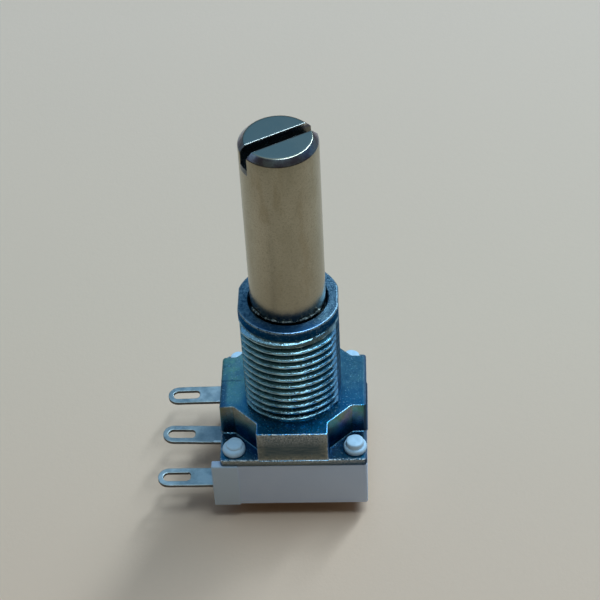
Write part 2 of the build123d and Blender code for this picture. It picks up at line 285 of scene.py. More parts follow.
def finish_mesh(obj, angle=32.0):
    """Tidies the mesh and shades it smooth except across sharp edges."""
    bm = bmesh.new()
    bm.from_mesh(obj.data)
    bmesh.ops.remove_doubles(bm, verts=bm.verts, dist=2e-7)
    bmesh.ops.dissolve_degenerate(bm, edges=bm.edges, dist=1e-7)
    limit = math.radians(angle)
    for e in bm.edges:
        e.smooth = not (e.is_manifold and e.calc_face_angle(0) > limit)
    for f in bm.faces:
        f.smooth = True
    bm.to_mesh(obj.data)
    bm.free()
    obj.data.update()
    return obj


def coords(obj):
    """Every vertex of the mesh, in millimetres."""
    co = np.zeros(len(obj.data.vertices) * 3)
    obj.data.vertices.foreach_get("co", co)
    return co.reshape(-1, 3) / MM


def set_coords(obj, co):
    """Puts every vertex at a place given in millimetres."""
    obj.data.vertices.foreach_set("co", (co * MM).ravel())
    obj.data.update()


def attribute(obj, name, values):
    """Stores one value per vertex, for the materials to read."""
    att = obj.data.attributes.new(name, "FLOAT", "POINT")
    att.data.foreach_set("value", np.asarray(values, np.float32))


def near_lines(co, lines, width):
    """1 on the given polylines, falling to 0 over the width."""
    pts = []
    for line in lines:
        line = np.array(line, float)
        for p, q in zip(line[:-1], line[1:]):
            count = max(2, int(np.linalg.norm(q - p) / 0.05))
            pts += [p + (q - p) * k / count for k in range(count + 1)]
    tree = KDTree(len(pts))
    for i, p in enumerate(pts):
        tree.insert(p, i)
    tree.balance()
    dist = np.array([tree.find(Vector(p))[2] for p in co])
    return np.exp(-((dist / width) ** 2))


def ripple(co, scale, seed):
    """Smooth noise of about -1 to 1 at each point, with features 1/scale mm across."""
    off = Vector((seed * 7.3, seed * 3.1, seed * 5.7))
    return np.array([noise.noise(Vector(p) * scale + off) for p in co])


# ---- front housing: flange, plateau and threaded bushing, cast in one --------
def thread_radius(phi, z):
    """Radius of the thread's surface at each angle and height, with its rounded crests and roots."""
    turn = (z - (PLATEAU_TOP - THREAD_PHASE)) / PITCH - phi / (2 * math.pi)
    u = np.abs(turn - np.round(turn)) * 2
    s = 0.5 + 0.5 * np.cos(math.pi * np.clip((u - CREST_SHARE) / FLANK_SHARE, 0, 1))
    return ROOT_R + (CREST_R - ROOT_R) * s, s


def bushing_solid(columns=330):
    """Bushing with its thread, side flats, lead-in band and collar, slightly rounded at the top."""
    phi = np.arange(columns) * 2 * math.pi / columns
    rows = list(np.arange(8.85, THREAD_TOP, 0.044)) + list(np.linspace(17.68, COLLAR_BOTTOM, 13))
    rows += [18.3, 18.6, 18.9, 18.94, 18.98, 19.015, 19.045, 19.07, 19.088, 19.097, BUSHING_TOP, BUSHING_TOP]
    flat = FLAT_X / np.maximum(np.abs(np.cos(phi)), 1e-6)
    cut = CUT_X / np.maximum(np.abs(np.cos(phi)), 1e-6)
    core = np.minimum(ROOT_R, flat)
    collar = np.minimum(COLLAR_R, flat)
    rings = []
    for z in rows:
        r, _ = thread_radius(phi, z)
        cone = LEAD_R - max(0.0, z - LEAD_START) * LEAD_SLOPE
        r = np.minimum(np.minimum(r, cone), cut)
        r = np.maximum(r, core)
        if z > THREAD_TOP:
            blend = min(1.0, (z - THREAD_TOP) / 0.12)
            r = np.maximum(r, core + (collar - core) * blend)
        if z > COLLAR_BOTTOM:
            past = max(0, z - COLLAR_ROUND_START) / COLLAR_ROUND
            r = collar - COLLAR_ROUND * (1 - math.sqrt(max(0, 1 - past ** 2)))
        if len(rings) == len(rows) - 1:
            r = r - 0.07
        rings.append(np.c_[r * np.cos(phi), r * np.sin(phi), np.full(columns, z)])
    return loft(rings)


plateau_points = [
    (ARM_X, -HALF), (ARM_X, -POCKET_Y), (POCKET_X, -ARM_Y), (HALF, -ARM_Y),
    (HALF, ARM_Y), (POCKET_X, ARM_Y), (ARM_X, POCKET_Y), (ARM_X, HALF),
    (-ARM_X, HALF), (-ARM_X, POCKET_Y), (-POCKET_X, ARM_Y), (-HALF, ARM_Y),
    (-HALF, -ARM_Y), (-POCKET_X, -ARM_Y), (-ARM_X, -POCKET_Y), (-ARM_X, -HALF),
]
plateau_radii = [
    0.2, 0.3, 0.35, 0.2, 0.55, 0.35, 0.3, 0.2,
    0.2, 0.3, 0.35, 0.28, 0.2, 0.35, 0.3, 0.2,
]
plateau_line = rounded(plateau_points, plateau_radii)
square = [(-HALF, -HALF), (HALF, -HALF), (HALF, HALF), (-HALF, HALF)]
flange_line = rounded(square, 0.3)


def soften(co, width=0.62, drop=0.13):
    """Wider, lower easing of the plateau's left edge, as the die left it."""
    out = co.copy()
    high = co[:, 2] > PLATEAU_TOP - 0.2
    near = np.clip((-HALF + width - co[:, 0]) / width, 0, 1)
    out[:, 2] -= np.where(high, drop * near ** 2, 0)
    return out


plateau = prism(
    plateau_line,
    [
        (5.3, 0.0), (5.74, 0.0), (5.76, 0.1), (5.79, 0.045), (5.85, 0.012), (5.95, -0.004),
        (7.4, -0.012), (8.9, -0.02), (8.955, -0.026), (8.985, -0.042),
        (PLATEAU_TOP, -0.072), (PLATEAU_TOP, -0.17),
    ],
    grid=0.4,
)
flange = prism(
    flange_line,
    [
        (BASE_TOP, -0.06), (5.07, -0.02), (5.12, 0), (5.65, 0), (5.715, -0.015),
        (FLANGE_TOP, -0.07), (FLANGE_TOP, -0.25),
    ],
)
housing = make("housing_shell", flange)
tools = [make("plateau_tool", plateau, soften), make("bushing_tool", bushing_solid())]
joined(housing, tools, "UNION")
bore = lathe(
    [
        (4.9, 4.8), (4.9, 7.9), (3.21, 7.9), (3.21, 18.6), (3.3, 18.98), (3.34, 19.04), (3.44, 19.11),
        (3.44, 19.6),
    ],
    160,
)
cutters = [make("bore_tool", bore)]
cutters += [make("hole_tool", lathe([(0.82, 4.8), (0.82, 6.0)], 48, x, y)) for x, y in POSTS]
joined(housing, cutters, "DIFFERENCE")


def sector(inner, outer, middle, half, n=24):
    """Outline of a piece of a ring, by its radii, middle angle and half angle."""
    t = np.radians(np.linspace(middle - half, middle + half, n))
    out = np.c_[outer * np.cos(t), outer * np.sin(t)]
    back = np.c_[inner * np.cos(t[::-1]), inner * np.sin(t[::-1])]
    return np.vstack([out, back])


stop = prism(sector(3.75, 5.0, 180, 16), [(BASE_TOP, 0), (6.15, 0)])
joined(housing, [make("stop_tool", stop)], "UNION")
finish_mesh(housing)

co = coords(housing)
radius, phi = np.hypot(co[:, 0], co[:, 1]), np.arctan2(co[:, 1], co[:, 0])
on_thread = (radius > 3.9) & (co[:, 2] > 9.02) & (co[:, 2] < 18.2)
_, crest = thread_radius(phi, co[:, 2])
attribute(housing, "depth", np.where(on_thread, 1 - crest, 0))
crest = np.where(on_thread & (radius > ROOT_R + 0.25), crest, 0)
ring_angle = np.linspace(0, 2 * math.pi, 240)
ring_r = np.minimum(COLLAR_R, FLAT_X / np.maximum(np.abs(np.cos(ring_angle)), 1e-6))
ring_line = np.c_[ring_r * np.cos(ring_angle), ring_r * np.sin(ring_angle)]
worn_and_glinting_edges = [edge_line(plateau_line, PLATEAU_TOP), edge_line(flange_line, FLANGE_TOP)]
worn_and_glinting_edges += [edge_line(ring_line, 19.08)]
worn_and_glinting_edges += [[(x, -HALF, 5.8), (x, -HALF, PLATEAU_TOP)] for x in (-ARM_X, ARM_X)]
worn_and_glinting_edges += [[(x, y, 5.2), (x, y, FLANGE_TOP)] for x in (-HALF, HALF) for y in (-HALF, HALF)]
wear_and_glint = near_lines(co, worn_and_glinting_edges, 0.09)
# the edges are partly rubbed and partly painted highlight: strongest at the front, not at all at the
# plateau's right end, and less at its right pocket's corner
plateau_edge = co[:, 2] > 8.5
wear_and_glint[plateau_edge & (co[:, 0] > 6.1)] = 0
wear_and_glint *= 1 + 0.7 * (co[:, 1] < -6.2)
pocket_corner = plateau_edge & (np.abs(co[:, 0] - ARM_X) < 0.25) & (co[:, 1] > -6.2) & (co[:, 1] < -4.7)
wear_and_glint *= 1 - 0.6 * pocket_corner
attribute(housing, "wear_and_glint", np.minimum(wear_and_glint, 1))
attribute(housing, "crest", crest)
attribute(housing, "thread", on_thread.astype(float))
attribute(housing, "crease", near_lines(co, [edge_line(plateau_line, 5.78)], 0.06))

# small nicks and the uneven skin of the casting, kept under the CAD model's size
lift = ripple(co, 2.2, 1) * 0.012 + ripple(co, 6.0, 2) * 0.006
nick = np.clip(ripple(co * np.array([1, 1, 0.35]), 1.7, 3) - 0.25, 0, 1) * crest * 0.09
outer = on_thread & (radius < 4.8)
shrink = np.where(outer, lift - 0.012 - nick, 0)
co[:, 0] *= 1 + shrink / np.maximum(radius, 1)
co[:, 1] *= 1 + shrink / np.maximum(radius, 1)
set_coords(housing, co)
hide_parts("front_housing")
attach(housing, "housing")

# crumbs of plating and burr left in the mouth of the bore: an uneven bead round the shaft
BEAD_SIDES = 8
bead_angles = np.radians(np.linspace(-158, -28, 260))
verts, faces = [], []
for k, a in enumerate(bead_angles):
    coarse = noise.noise(Vector((math.cos(a) * 7, math.sin(a) * 7, 4.0)))
    fine = noise.noise(Vector((math.cos(a) * 31, math.sin(a) * 31, 8.0)))
    taper = min(1.0, (a - bead_angles[0]) * 6, (bead_angles[-1] - a) * 6)
    thick = min(0.12, max(0.006, (0.045 + 0.13 * coarse + 0.1 * fine) * taper))
    r, z = 3.195 + thick, 19.33 + 0.22 * coarse + 0.12 * fine
    for j in range(BEAD_SIDES):
        b = 2 * math.pi * j / BEAD_SIDES
        out = r + thick * math.cos(b)
        verts.append((out * math.cos(a), out * math.sin(a), z + thick * math.sin(b)))
        if k:
            here, after = (k - 1) * BEAD_SIDES + j, (k - 1) * BEAD_SIDES + (j + 1) % BEAD_SIDES
            faces.append((here, after, after + BEAD_SIDES, here + BEAD_SIDES))
faces.append(tuple(range(BEAD_SIDES - 1, -1, -1)))
faces.append(tuple(range(len(verts) - BEAD_SIDES, len(verts))))
burr = finish_mesh(make("mouth_burr", (verts, faces)), 60)
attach(burr, "housing")

# ---- moulded base with its four staked posts ---------------------------------
base_levels = [
    (0, -0.12), (0.04, -0.05), (0.12, 0), (4.93, 0), (5.0, -0.02), (5.04, -0.07), (BASE_TOP, -0.2),
]
base_body = make("base_body", prism(rounded(square, 0.22), base_levels))
cheek_corners = [(-7.15, -6.47), (-4.83, -6.47), (-4.83, -5.65), (-7.15, -5.65)]
cheek_line = rounded(cheek_corners, [0.13, 0.11, 0.11, 0.11])
cheek_levels = [
    (0, -0.1), (0.04, -0.04), (0.1, 0), (4.92, 0), (4.99, -0.015), (5.035, -0.05), (BASE_TOP, -0.1),
]
tools = [make("cheek_tool", prism(cheek_line, cheek_levels))]


def post_solid(cx, cy, rings, seed, n=72):
    """Staked post: rings of (radius, height, shift x, shift y), slightly uneven."""
    t = np.arange(n) * 2 * math.pi / n
    out = []
    for r, z, dx, dy in rings:
        spots = [Vector((math.cos(a) * 1.1 + seed, math.sin(a) * 1.1, z * 0.8)) for a in t]
        uneven = np.array([noise.noise(spot) for spot in spots])
        reach = r * (1 + 0.028 * uneven * (z > 5.74))
        height = z + 0.05 * uneven * (z > 5.9)
        out.append(np.c_[cx + dx + reach * np.cos(t), cy + dy + reach * np.sin(t), height])
    return loft(out)


stem = [(0.76, 4.7, 0, 0), (0.76, 5.74, 0, 0), (0.93, 5.755, 0, 0), (0.965, 5.8, 0, 0)]
low_head = [(0.985, 5.93, 0, 0), (0.97, 6.08, 0, 0), (0.925, 6.2, 0.01, 0.01), (0.85, 6.29, 0.03, 0.03)]
blunt_stub = [
    (0.775, 6.33, 0.06, 0.09), (0.745, 6.36, 0.07, 0.1), (0.735, 6.42, 0.07, 0.1), (0.7, 6.5, 0.07, 0.1),
    (0.63, 6.55, 0.07, 0.1), (0.5, 6.575, 0.07, 0.1), (0.25, 6.575, 0.07, 0.1),
]
wide_head = [
    (1.0, 5.95, 0, 0), (0.995, 6.1, 0, 0), (0.955, 6.21, 0, 0), (0.88, 6.275, 0, 0), (0.81, 6.295, -0.02, 0),
]
tall_stub = [
    (0.78, 6.33, -0.03, 0), (0.768, 6.4, -0.03, 0), (0.762, 6.6, -0.03, 0), (0.745, 6.69, -0.03, 0),
    (0.7, 6.75, -0.03, 0), (0.62, 6.785, -0.03, 0), (0.45, 6.79, -0.03, 0), (0.2, 6.775, -0.03, 0),
]
rear_stub = [(r, z + 0.1 * (z > 6.5), dx, dy) for r, z, dx, dy in tall_stub]
posts = [
    (-5.15, -5.1, stem + low_head + blunt_stub, 1.7),
    (5.36, -5.02, stem + wide_head + tall_stub, 4.1),
    (-5.08, 5.1, stem + wide_head + rear_stub, 7.9),
    (5.06, 5.1, stem + wide_head + rear_stub, 9.3),
]
tools += [make("post_tool", post_solid(*post)) for post in posts]
joined(base_body, tools, "UNION")
cavity_line = rounded([(-CAVITY_R, -4.0), (0, -4.0), (0, 4.0), (-CAVITY_R, 4.0)], [0.3, 0, 0, 0.3])
cutters = [
    make("cavity_tool", lathe([(CAVITY_R, 1.2), (CAVITY_R, 5.4)], 120)),
    make("cavity_tool", prism(cavity_line, [(1.2, 0), (5.4, 0)])),
]
for y in (-LUG_PITCH, 0.0, LUG_PITCH):
    gate = rounded([(-7.4, y - 1.0), (-5.2, y - 1.0), (-5.2, y + 1.0), (-7.4, y + 1.0)], 0)
    cutters.append(make("gate_tool", prism(gate, [(1.88, 0), (2.22, 0)])))
for x, y in ((3.9, 3.9), (3.9, -3.9), (-3.9, 3.9)):
    cutters.append(make("mark_tool", lathe([(0.9, -0.2), (0.9, 0.03), (0.82, 0.05)], 40, x, y)))
joined(base_body, cutters, "DIFFERENCE")
joined(base_body, [make("pivot_tool", lathe([(1.2, 1.0), (1.2, 2.28), (1.12, 2.35)], 48))], "UNION")
finish_mesh(base_body)
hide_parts("base")
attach(base_body, "housing")


# ---- solder lugs: stamped, each slightly bent its own way -----------------------
def lug_piece(number, row, tip, lift, sag, slot_shift):
    """Lug in row -1, 0 or 1, out to x = tip, with its end lifted, its middle sagging and its slot askew."""
    y, w = LUG_PITCH * row, LUG_HALF
    if row == 0:
        points = [(tip, -w), (LUG_INNER, -w), (LUG_INNER, w), (tip, w)]
        line = rounded(points, [w * 0.995, 0.12, 0.12, w * 0.995])
    else:
        near, far = (-5.6, -6.0) if row < 0 else (-6.0, -5.6)
        low, high = sorted((5.5 * row, 2.75 * row))
        points = [
            (tip, y - w), (near, y - w), (near, low), (LUG_INNER, low),
            (LUG_INNER, high), (far, high), (far, y + w), (tip, y + w),
        ]
        line = rounded(points, [w * 0.995, 0.1, 0.1, 0.12, 0.12, 0.1, 0.1, w * 0.995])
    line = divided(line, 0.35)
    start, end = tip + 0.45, tip + 2.9
    low, high = y - LUG_SLOT_HALF, y + LUG_SLOT_HALF
    slot_line = rounded([(start, low), (end, low), (end, high), (start, high)], [0.46, 0.36, 0.36, 0.46])
    slot_line[:, 1] += np.where(slot_line[:, 0] > end - 0.3, slot_shift, 0)
    slot_line = divided(slot_line, 0.35)
    rivet_hole = circle(RIVET_R, 24, RIVET_X, RIVET_PITCH * row)
    levels = [
        (LUG_BOTTOM, -0.03), (1.905, -0.01), (1.925, 0), (2.17, 0), (2.19, -0.008), (2.199, -0.028),
        (LUG_TOP, -0.06), (LUG_TOP, -0.095),
    ]

    def bend(v):
        out = v.copy()
        reach = np.clip((BEND_START - v[:, 0]) / BEND_LENGTH, 0, None)
        out[:, 2] += lift * reach ** 1.4 + sag * np.sin(np.clip(reach, 0, 1) * math.pi)
        out[:, 2] += ripple(v * np.array([1, 1, 0]), 0.55, 20 + number) * 0.03 * np.clip(reach * 3, 0, 1)
        return out

    obj = make(f"lug_{number}", prism(line, levels, [slot_line, rivet_hole], grid=0.4), bend)
    finish_mesh(obj)
    flat = coords(obj)
    flat[:, 2] = np.where(flat[:, 2] > 2.05, LUG_TOP, LUG_BOTTOM)
    attribute(obj, "wear_and_glint", near_lines(flat, [edge_line(q, LUG_TOP) for q in (line, slot_line)], 0.09))
    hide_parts(f"terminal_lug_{number}")
    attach(obj, "housing")
    return obj


lugs = [
    lug_piece(1, -1, -12.12, 0.03, 0.02, 0.05),
    lug_piece(2, 0, -12.02, 0.17, 0.02, 0.0),
    lug_piece(3, 1, -11.92, -0.13, 0.0, 0.0),
]

# ---- shaft: turned, chamfered, with a screwdriver slot sawn across the end -----------
slot_normal = np.array([-math.sin(SLOT_ANGLE), math.cos(SLOT_ANGLE)])


def half_ring(r, w, side, n=56):
    """Segment of a disc beyond a chord at distance w, with eased corners."""
    theta = math.acos(w / r)
    d = 0.07
    t = np.linspace(-theta + d / r, theta - d / r, n)
    top, bottom = r * math.sin(theta), -r * math.sin(theta)
    arc = [(r * math.cos(a), r * math.sin(a)) for a in t]
    corner = []
    for y, first in ((top, arc[-1]), (bottom, arc[0])):
        end = (w, y - math.copysign(d, y))
        curve = [
            ((1 - s) ** 2 * first[0] + 2 * s * (1 - s) * w + s * s * end[0],
             (1 - s) ** 2 * first[1] + 2 * s * (1 - s) * y + s * s * end[1])
            for s in (0.25, 0.5, 0.75, 1.0)
        ]
        corner.append(curve)
    chord_y = np.linspace(top - d, bottom + d, 14)[1:-1]
    pts = np.array(arc + corner[0] + [(w, y) for y in chord_y] + corner[1][::-1])
    e1 = slot_normal * side
    e2 = np.array([-e1[1], e1[0]])
    return pts[:, :1] * e1 + pts[:, 1:] * e2


def half_solid(side, w):
    """One side of the shaft's end, beyond the slot's wall at distance w, with the end's bevel."""
    levels = [
        (34.3, SHAFT_R, 0), (35.55, SHAFT_R, 0), (35.595, SHAFT_R - 0.008, 0), (35.63, SHAFT_R - 0.028, 0),
        (35.67, SHAFT_R - 0.062, 0), (35.85, SHAFT_R - 0.235, 0), (36.03, SHAFT_R - 0.412, 0.002),
        (36.065, SHAFT_R - 0.452, 0.01), (36.09, SHAFT_R - 0.495, 0.028), (SHAFT_TOP, SHAFT_R - 0.55, 0.06),
        (SHAFT_TOP, SHAFT_R - 0.7, 0.18), (SHAFT_TOP, SHAFT_R - 1.2, 0.5),
    ]
    rings = [(half_ring(r, w + dw, side), z) for z, r, dw in levels]
    return loft([np.c_[ring, np.full(len(ring), z)] for ring, z in rings])


def tenon_ring(r, half, z, n=96):
    """Circle with two flats, in line with the slot."""
    ring = circle(r, n)
    across = ring @ slot_normal
    return np.c_[ring - slot_normal * (across - np.clip(across, -half, half))[:, None], np.full(n, z)]


shaft_profile = [
    (3.05, 6.2), (3.15, 6.24), (SHAFT_R, 6.32), (SHAFT_R, 6.8), (3.15, 6.84), (2.62, 6.85), (2.6, 6.88),
    (2.6, 7.37), (2.62, 7.4), (3.14, 7.41), (SHAFT_R, 7.46), (SHAFT_R, 12.0), (SHAFT_R, 18.17), (3.15, 18.2),
    (2.96, 18.2), (2.95, 18.92), (3.15, 18.93), (SHAFT_R, 18.96), (SHAFT_R, 22.0), (SHAFT_R, 26.0),
    (SHAFT_R, 30.0), (SHAFT_R, SLOT_BOTTOM),
]
shaft_piece = make("shaft_turned", lathe(shaft_profile, 192))
tools = [
    make("half_tool", half_solid(1, SLOT_LEFT)),
    make("half_tool", half_solid(-1, SLOT_RIGHT)),
    make("tenon_tool", loft([tenon_ring(TENON_R, TENON_HALF, z) for z in (3.3, 6.3)])),
    make("pivot_tool", lathe([(0.9, 2.4), (1.0, 2.5), (1.0, 3.4)], 64)),
]
joined(shaft_piece, tools, "UNION")
finish_mesh(shaft_piece, 38)
co = coords(shaft_piece)
across = co[:, :2] @ slot_normal
to_wall = np.minimum(np.abs(across - SLOT_LEFT), np.abs(across + SLOT_RIGHT))
attribute(shaft_piece, "wear_and_glint", np.exp(-((to_wall / 0.05) ** 2)) * (co[:, 2] > 36.0))
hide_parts("shaft")
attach(shaft_piece, "shaft")


# ---- procedural materials -------------------------------------------------------------
class Surface:
    """A Principled material with short helpers for its nodes. Lengths given to them are in millimetres."""

    def __init__(self, name):
        self.mat = bpy.data.materials.new(name)
        self.mat.use_nodes = True
        self.tree = self.mat.node_tree
        self.bsdf = self.tree.nodes["Principled BSDF"]
        self.place = self.add("ShaderNodeTexCoord").outputs["Object"]
        self.xyz = self.add("ShaderNodeSeparateXYZ", {"Vector": self.place}).outputs
        facing = self.add("ShaderNodeNewGeometry").outputs["Normal"]
        self.normal = self.add("ShaderNodeSeparateXYZ", {"Vector": facing}).outputs

    def add(self, kind, inputs=None, **props):
        """New node with its properties set and its inputs filled."""
        node = self.tree.nodes.new(kind)
        for k, v in props.items():
            setattr(node, k, v)
        for k, v in (inputs or {}).items():
            self.put(node.inputs[k], v)
        return node

    def put(self, socket, value):
        """Links another node's output to a socket, or sets the socket's own value."""
        if isinstance(value, bpy.types.NodeSocket):
            self.tree.links.new(value, socket)
        elif hasattr(value, "__len__") and socket.type == "RGBA" and len(value) == 3:
            socket.default_value = (*value, 1)
        else:
            socket.default_value = value

    def noise(self, size, detail=3.0, rough=0.55, stretch=(1, 1, 1), seed=0.0):
        """Noise with features about size mm across, 0 to 1."""
        k = 1 / (size * MM)
        scale = (k / stretch[0], k / stretch[1], k / stretch[2])
        shift = (seed, seed * 1.7, seed * 2.3)
        spread = self.add("ShaderNodeMapping", {"Vector": self.place, "Scale": scale, "Location": shift})
        inputs = {"Vector": spread.outputs[0], "Scale": 1.0, "Detail": detail, "Roughness": rough}
        return self.add("ShaderNodeTexNoise", inputs).outputs[0]

    def math(self, operation, a, b=0.0, clamp=False):
        return self.add("ShaderNodeMath", {0: a, 1: b}, operation=operation, use_clamp=clamp).outputs[0]

    def plus(self, a, b, clamp=False):
        return self.math("ADD", a, b, clamp)

    def minus(self, a, b):
        return self.math("SUBTRACT", a, b)

    def times(self, first, *others, clamp=False):
        for other in others:
            first = self.math("MULTIPLY", first, other, clamp)
        return first

    def larger(self, a, b):
        return self.math("MAXIMUM", a, b)

    def absolute(self, a):
        return self.math("ABSOLUTE", a)

    def step(self, value, low, high):
        """0 below low, 1 above high, straight between them (or the reverse)."""
        inputs = {"Value": value, "From Min": low, "From Max": high}
        return self.add("ShaderNodeMapRange", inputs, clamp=True).outputs[0]

    def along(self, length, low, high):
        """The same for a coordinate or a distance, between two values in mm."""
        return self.step(length, low * MM, high * MM)

    def mix(self, share, a, b):
        """Colour a, or b where the share is 1."""
        node = self.add("ShaderNodeMix", data_type="RGBA")
        self.put(node.inputs[0], share)
        self.put(node.inputs[6], a)
        self.put(node.inputs[7], b)
        return node.outputs[2]

    def over(self, under, paint, *shares):
        """Paint laid over a colour, as far as the product of the shares."""
        return self.mix(self.times(*shares), under, paint)

    def mark(self, name):
        """The mesh's own attribute of that name."""
        return self.add("ShaderNodeAttribute", attribute_name=name).outputs["Fac"]

    def bump(self, height, depth, normal=None):
        """Bump of that depth in mm, chained on an earlier one."""
        node = self.add("ShaderNodeBump", {"Height": height, "Distance": depth * MM, "Strength": 1.0})
        if normal is not None:
            self.put(node.inputs["Normal"], normal)
        return node.outputs[0]

    def done(self, color, roughness, normal=None, **constants):
        """Feeds the shader. Constants are its other inputs, such as metallic or ior."""
        self.put(self.bsdf.inputs["Base Color"], color)
        self.put(self.bsdf.inputs["Roughness"], roughness)
        if normal is not None:
            self.put(self.bsdf.inputs["Normal"], normal)
        for k, v in constants.items():
            self.put(self.bsdf.inputs[k.replace("_", " ").title().replace("Ior", "IOR")], v)
        return self.mat

    def on(self, *objs):
        """Makes this the only material of each object."""
        for o in objs:
            o.data.materials.clear()
            o.data.materials.append(self.mat)


# die-cast zinc under a blue chromate that shifts to green, violet and brass
s = Surface("zinc_blue_chromate")
x, y, z = s.xyz
broad = s.noise(3.2, 4, 0.6, seed=2)
patch = s.noise(1.1, 5, 0.65, seed=5)
fine = s.noise(0.3, 4, 0.7, seed=9)
speck = s.noise(0.14, 3, 0.65, seed=12)
streak = s.noise(0.12, 4, 0.6, stretch=(9, 9, 1), seed=13)
leftness = s.along(x, 2.0, -4.0)
upright = s.step(s.absolute(s.normal[2]), 0.75, 0.35)
# level faces: deep blue on the right, teal and green on the left, darkest towards the front
blue = s.mix(s.step(patch, 0.35, 0.65), (0.1, 0.25, 0.34), (0.18, 0.36, 0.4))
teal = s.mix(s.step(patch, 0.38, 0.6), (0.31, 0.47, 0.45), (0.38, 0.6, 0.42))
top = s.mix(leftness, blue, teal)
top = s.over(top, (0.1, 0.26, 0.38), s.step(broad, 0.5, 0.62), 0.55)
cloudy = s.noise(0.75, 4, 0.65, seed=41)
top = s.over(top, (0.04, 0.16, 0.23), s.step(cloudy, 0.54, 0.66), 0.5)
top = s.over(top, (0.22, 0.5, 0.5), s.step(cloudy, 0.44, 0.34), 0.35)
top = s.over(top, (0.03, 0.11, 0.18), s.step(fine, 0.36, 0.24), 0.7)
top = s.over(top, (0.004, 0.215, 0.41), s.along(y, 0.2, -3.0), 0.75)
top = s.over(top, (0.0, 0.32, 0.66), s.along(y, -4.2, -5.0), 0.7)
top = s.over(top, (0.03, 0.12, 0.18), s.along(z, 7.2, 6.0), 0.7)
left_arm = s.times(s.along(x, -4.2, -4.7), s.along(z, 8.5, 8.9))
lower_arm = s.times(s.along(y, 0.4, -0.6), s.along(y, -3.0, -2.2))
# painted reflection: a paler teal patch on the front half of the left arm
top = s.over(top, (0.4, 0.66, 0.56), left_arm, lower_arm, 0.5)
strip = s.times(s.along(x, -5.6, -5.9), s.along(y, 0.6, -0.4))
top = s.over(top, (0.07, 0.13, 0.24), left_arm, strip, 0.7)
crack = s.along(s.absolute(s.minus(y, 0.12 * MM)), 0.11, 0.03)
top = s.over(top, (0.03, 0.1, 0.16), left_arm, crack, 0.55)
# painted glints: small pale specks on the level faces, and a few larger ones
top = s.over(top, (0.8, 0.97, 1.0), s.step(speck, 0.615, 0.665), 0.75)
top = s.over(top, (0.55, 0.86, 0.92), s.step(s.noise(0.26, 2, 0.5, seed=33), 0.7, 0.74), 0.8)
# upright faces: olive and violet films over navy, and a paler brassy rim on the boss as a painted highlight
hue = s.mix(s.step(broad, 0.42, 0.58), (0.17, 0.17, 0.12), (0.08, 0.2, 0.13))
violet = s.step(s.noise(1.6, 3, 0.5, seed=21), 0.52, 0.66)
hue = s.over(hue, (0.13, 0.12, 0.26), violet, s.step(leftness, 1.0, 0.4))
low = s.mix(s.step(patch, 0.4, 0.6), (0.02, 0.1, 0.16), (0.02, 0.06, 0.13))
wall = s.mix(s.along(z, 8.3, 6.8), hue, low)
# painted highlight along the boss's sides and lower edge
rim = s.larger(s.along(s.absolute(x), 2.2, 2.9), s.along(z, 6.6, 6.0))
boss = s.mix(s.step(streak, 0.35, 0.65), (0.052, 0.075, 0.086), (0.098, 0.12, 0.122))
boss = s.over(boss, (0.19, 0.195, 0.165), rim, s.step(fine, 0.3, 0.6))
flange_tint = s.mix(s.along(x, 1.0, 5.0), (0.12, 0.14, 0.13), (0.025, 0.055, 0.09))
boss = s.mix(s.along(z, 5.8, 5.74), boss, flange_tint)
wall = s.mix(s.along(y, -6.0, -6.2), wall, boss)
skin = s.mix(upright, top, wall)
# threads: painted shade, black-blue, in the roots and under each turn, and painted highlight on the crests
# and across the middle
film = s.mix(s.step(patch, 0.35, 0.65), (0.17, 0.45, 0.7), (0.3, 0.64, 0.88))
# painted highlight: a pale band across the middle of the threads
bright = s.times(s.along(x, -2.2, -0.4), s.along(x, 2.8, 1.2))
film = s.over(film, (0.62, 0.9, 0.95), bright, 0.75)
# painted shade towards the right, which narrows that painted highlight
film = s.over(film, (0.06, 0.26, 0.42), s.along(x, 1.2, 3.0), 0.45)
film = s.over(film, (0.36, 0.5, 0.42), leftness, 0.85)
film = s.over(film, (0.05, 0.11, 0.14), s.step(speck, 0.5, 0.36), 0.6)
# painted shade in the roots and on the down-facing flanks
film = s.mix(s.step(s.mark("depth"), 0.4, 0.9), film, (0.03, 0.09, 0.12))
film = s.over(film, (0.03, 0.08, 0.1), s.step(s.normal[2], -0.1, -0.45), 0.75)
# painted highlight on the crests, broken into dots
film = s.over(film, (0.34, 0.52, 0.62), s.step(s.mark("crest"), 0.86, 0.98), s.step(fine, 0.35, 0.55))
# painted shade at the ends of the threads by the cut flats
film = s.over(film, (0.07, 0.1, 0.15), s.along(x, 3.4, 3.8), 0.7)
skin = s.mix(s.mark("thread"), skin, film)
# collar: navy, with a scuffed rim and a painted reflection on the front of its top, and the lead-in just
# under it painted pale as a highlight
ring = s.mix(s.step(fine, 0.38, 0.62), (0.05, 0.11, 0.17), (0.17, 0.29, 0.37))
# painted reflection: the front of the collar's top is painted a brighter blue
ring = s.over(ring, (0.03, 0.16, 0.4), s.along(y, -2.6, -3.8), 0.8)
ring = s.mix(upright, ring, s.mix(s.step(fine, 0.4, 0.7), (0.0005, 0.02, 0.06), (0.004, 0.05, 0.13)))
scuffed = s.step(s.plus(speck, s.times(s.along(x, 1.6, 3.6), 0.055)), 0.62, 0.67)
strength = s.mix(upright, (0.7, 0.7, 0.7), (0.25, 0.25, 0.25))
ring = s.over(ring, (0.52, 0.74, 0.88), scuffed, strength)
skin = s.mix(s.along(z, 18.14, 18.2), skin, ring)
# painted highlight: the lead-in band is painted pale
lead = s.times(s.along(z, 17.64, 17.7), s.along(z, 18.12, 18.0))
skin = s.over(skin, (0.5, 0.74, 0.84), lead, s.step(fine, 0.25, 0.55))
